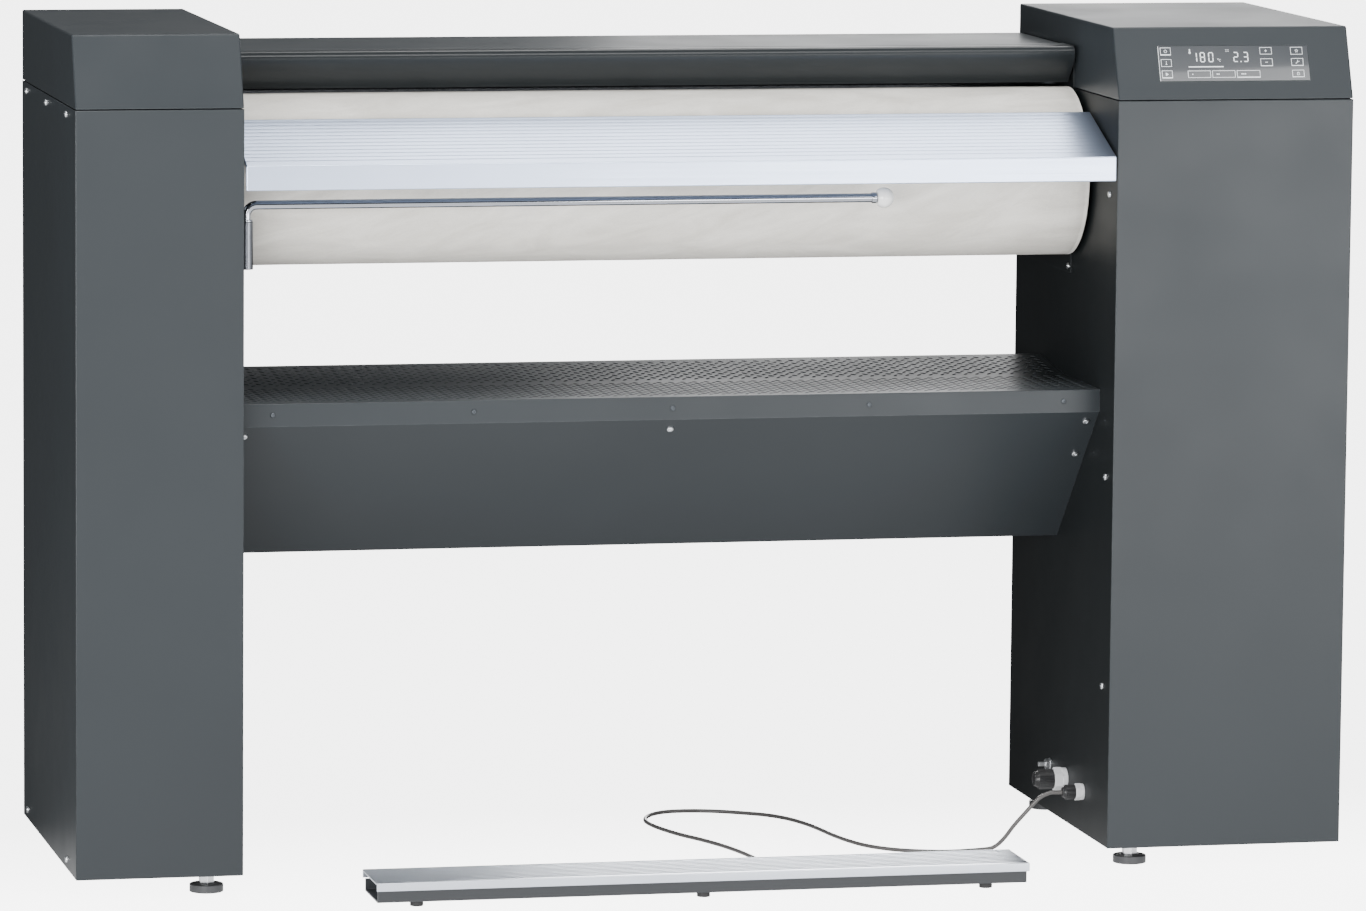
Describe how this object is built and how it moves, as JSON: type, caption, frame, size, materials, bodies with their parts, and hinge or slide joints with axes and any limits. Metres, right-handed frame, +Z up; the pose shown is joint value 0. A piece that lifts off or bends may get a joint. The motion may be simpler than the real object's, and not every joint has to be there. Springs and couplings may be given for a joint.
{
  "type": "flatwork ironer",
  "caption": "Rotary flatwork ironer: padded roll and swinging heated trough between two cabinets, with feed board, laundry tray, linen rod and foot bar.",
  "frame": {"origin": "middle of the machine's length and of its depth with the foot bar, on the floor", "axes": "+X along the roll towards the cabinet with the controls, +Y from the operator to the back, +Z up"},
  "size_m": [1.5808, 0.5918, 1.034],
  "materials": {
    "cabinet_paint": "satin iron-grey powder coat",
    "wall_paint": "dark satin powder coat",
    "frame_steel": "painted structural steel",
    "foot_plastic": "dark grey moulded pad on a zinc plated stud",
    "screw_steel": "zinc plated",
    "machined_steel": "turned steel",
    "cast_iron": "cast and machined",
    "padding": "needled felt",
    "cloth": "cream ironing cloth with a soft mottled weave",
    "belt_rubber": "black rubber belt",
    "motor_paint": "painted castings",
    "trough_aluminium": "polished on the ironing face",
    "board_aluminium": "anodised extrusion with fine grooves along it",
    "bronze": "sintered bronze",
    "rod_chrome": "polished chrome",
    "knob_plastic": "white knob",
    "channel_paint": "dark satin paint",
    "black_plastic": "black polyamide",
    "rubber_feet": "black rubber",
    "cable_sheath": "dark grey cable sheath",
    "display_glass": "dark half-reflecting glass with printed touch fields",
    "circuit_board": "green circuit board"
  },
  "bodies": {
    "root": {"left_inner_wall": "wall_paint", "left_outer_panel": "cabinet_paint", "left_front_panel": "cabinet_paint", "left_rear_panel": "cabinet_paint", "left_lid": "cabinet_paint", "left_frame": "frame_steel", "right_inner_wall": "wall_paint", "right_outer_panel": "cabinet_paint", "right_front_panel": "cabinet_paint", "right_rear_panel": "cabinet_paint", "right_lid": "cabinet_paint", "right_frame": "frame_steel", "panel_screws": "screw_steel", "roll_bearings": "cast_iron", "drive_belt": "belt_rubber", "gear_motor": "motor_paint", "press_bushes": "bronze", "press_motor": "motor_paint", "trough_cover": "cabinet_paint", "wall_plates": "wall_paint", "feed_board": "board_aluminium", "wall_brackets": "frame_steel", "tray": "cabinet_paint", "apron": "cabinet_paint", "cross_beam": "wall_paint", "tray_rivets": "screw_steel", "rod_socket": "rod_chrome", "pedal_channel": "channel_paint", "pedal_springs": "screw_steel", "pedal_switches": "black_plastic", "pedal_feet": "rubber_feet", "foot_cable": "cable_sheath", "cable_gland": "black_plastic", "mains_gland": "black_plastic", "earth_stud": "screw_steel", "display_glass": "display_glass", "control_board": "circuit_board", "power_board": "circuit_board"},
    "roll": {"roll_tube": "machined_steel", "roll_end_left": "machined_steel", "roll_end_right": "machined_steel", "roll_padding": "padding", "roll_cloth": "cloth", "roll_pulley": "cast_iron"},
    "drive": {"drive_pulley": "machined_steel"},
    "trough": {"heated_plate": "trough_aluminium", "tubular_heaters": "machined_steel", "heater_backing": "frame_steel", "press_arm_left": "frame_steel", "press_arm_right": "frame_steel", "press_shaft": "machined_steel"},
    "cam": {"press_cam": "machined_steel"},
    "guard": {"finger_guard": "cabinet_paint"},
    "rod": {"linen_rod": "rod_chrome", "rod_knob": "knob_plastic"},
    "pedal": {"pedal_plate": "board_aluminium"},
    "foot_fl": {"foot_front_left": "foot_plastic"},
    "foot_fr": {"foot_front_right": "foot_plastic"},
    "foot_rl": {"foot_rear_left": "foot_plastic"},
    "foot_rr": {"foot_rear_right": "foot_plastic"}
  },
  "joints": [
    {"name": "roll_spin", "type": "hinge", "parent": "root", "child": "roll", "pos_m": [0, 0.0325, 0.844], "axis": [1, 0, 0], "continuous": true},
    {"name": "drive_spin", "type": "hinge", "parent": "root", "child": "drive", "pos_m": [0.56, 0.0325, 0.612], "axis": [1, 0, 0], "continuous": true},
    {"name": "press_swing", "type": "hinge", "parent": "root", "child": "trough", "pos_m": [0, 0.1535, 0.54], "axis": [1, 0, 0], "range_deg": [0, 1.6]},
    {"name": "cam_turn", "type": "hinge", "parent": "root", "child": "cam", "pos_m": [0.5, 0.0935, 0.45], "axis": [1, 0, 0], "range_deg": [0, 60]},
    {"name": "guard_tilt", "type": "hinge", "parent": "root", "child": "guard", "pos_m": [0, 0.0415, 0.987], "axis": [1, 0, 0], "range_deg": [0, 8], "stiffness_Nm_per_rad": 3, "springref_deg": -8.59},
    {"name": "rod_swing", "type": "hinge", "parent": "root", "child": "rod", "pos_m": [-0.5776, -0.1415, 0.78], "axis": [0, 0, 1], "range_deg": [-90, 0]},
    {"name": "pedal_press", "type": "slide", "parent": "root", "child": "pedal", "axis": [0, 0, 1], "range_m": [-0.006, 0], "stiffness_N_per_m": 3000, "springref_m": 0.004, "deforming": ["pedal_springs"]},
    {"name": "foot_fl_turn", "type": "hinge", "parent": "root", "child": "foot_fl", "pos_m": [-0.625, -0.14, 0.012], "axis": [0, 0, 1], "continuous": true},
    {"name": "foot_fr_turn", "type": "hinge", "parent": "root", "child": "foot_fr", "pos_m": [0.529, -0.14, 0.012], "axis": [0, 0, 1], "continuous": true},
    {"name": "foot_rl_turn", "type": "hinge", "parent": "root", "child": "foot_rl", "pos_m": [-0.625, 0.257, 0.012], "axis": [0, 0, 1], "continuous": true},
    {"name": "foot_rr_turn", "type": "hinge", "parent": "root", "child": "foot_rr", "pos_m": [0.529, 0.257, 0.012], "axis": [0, 0, 1], "continuous": true}
  ],
  "couplings": [
    {"joint": "drive_spin", "follows": "roll_spin", "ratio": 2.8125},
    {"joint": "cam_turn", "follows": "press_swing", "ratio": 37.5}
  ]
}
